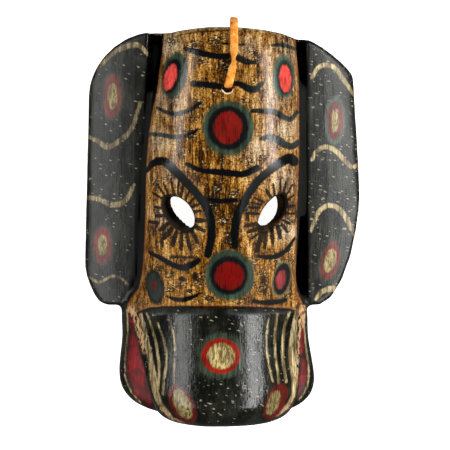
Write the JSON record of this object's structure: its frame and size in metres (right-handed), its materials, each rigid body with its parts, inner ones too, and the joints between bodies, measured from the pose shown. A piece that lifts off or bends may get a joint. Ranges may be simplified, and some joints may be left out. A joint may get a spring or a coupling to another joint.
{
  "type": "carved animal mask",
  "caption": "Carved and painted wooden hound mask with long hanging ears, a deep muzzle, cut-through eye holes, a hollow back and a leather lace to hang it by.",
  "frame": {"origin": "on the floor, under the middle of the mask and its lace, with the mask lying face up on its back rim", "axes": "+Z out of the face, +Y to the top of the head, +X to the ear on the viewer's right"},
  "size_m": [0.2087, 0.3035, 0.1074],
  "materials": {
    "painted_wood": "hand painted in black, ochre, red and green, varnished to a gloss",
    "leather": "undyed suede, fuzzy at the edges"
  },
  "bodies": {
    "root": {"mask": "painted_wood", "leather_lace": "leather"}
  },
  "joints": []
}
